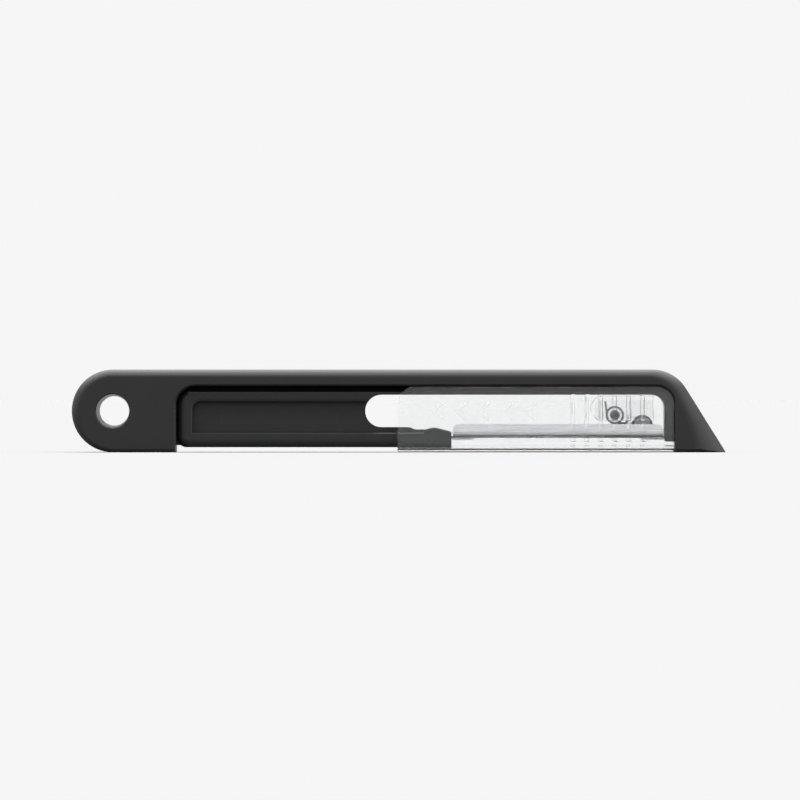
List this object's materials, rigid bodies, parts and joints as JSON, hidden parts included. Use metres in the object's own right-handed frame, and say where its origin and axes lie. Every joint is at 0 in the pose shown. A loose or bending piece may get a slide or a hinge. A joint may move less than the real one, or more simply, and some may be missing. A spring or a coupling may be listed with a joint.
{
  "type": "utility peeler knife",
  "caption": "Straight hand peeler with a swivelling slotted blade in a long moulded handle and a clear sliding blade guard that carries a sprung honing unit.",
  "frame": {"origin": "centre of the bounding box in plan, at the level of the lower edge that the knife stands on", "axes": "+X towards the pointed nose, +Z towards the spine, -Y is the front face"},
  "size_m": [0.1966, 0.014, 0.0248],
  "materials": {
    "charcoal_moulding": "charcoal, fine satin",
    "blade_steel": "bright rolled sheet",
    "pin_steel": "plain",
    "spring_steel": "drawn wire",
    "clear_guard": "clear, polished",
    "clear_housing": "clear, polished",
    "honing_ceramic": "fine grit"
  },
  "bodies": {
    "frame": {"body_frame": "charcoal_moulding"},
    "blade": {"peeler_blade": "blade_steel", "tail_pivot_pin": "pin_steel", "nose_pivot_pin": "pin_steel"},
    "guard": {"guard_shell": "clear_guard", "sharpener_housing": "clear_housing", "arm_pivot_pin": "pin_steel", "torsion_spring": "spring_steel"},
    "arm": {"sharpener_arm": "clear_housing"},
    "discs": {"disc_axle": "pin_steel", "front_honing_disc": "honing_ceramic", "rear_honing_disc": "honing_ceramic"}
  },
  "joints": [
    {"name": "guard_slide", "type": "slide", "parent": "frame", "child": "guard", "axis": [-1, 0, 0], "range_m": [0, 0.0663]},
    {"name": "blade_swivel", "type": "hinge", "parent": "frame", "child": "blade", "pos_m": [0.0478, 0, 0.0048], "axis": [1, 0, 0], "range_deg": [-10, 10]},
    {"name": "arm_lift", "type": "hinge", "parent": "guard", "child": "arm", "pos_m": [0.0649, 0, 0.0112], "axis": [0, -1, 0], "range_deg": [0, 24], "deforming": ["torsion_spring"]},
    {"name": "disc_spin", "type": "hinge", "parent": "arm", "child": "discs", "pos_m": [0.0732, 0, 0.0081], "axis": [0, 1, 0], "continuous": true}
  ],
  "couplings": [
    {"joint": "arm_lift", "follows": "guard_slide", "rad_per_m": 6.3}
  ]
}
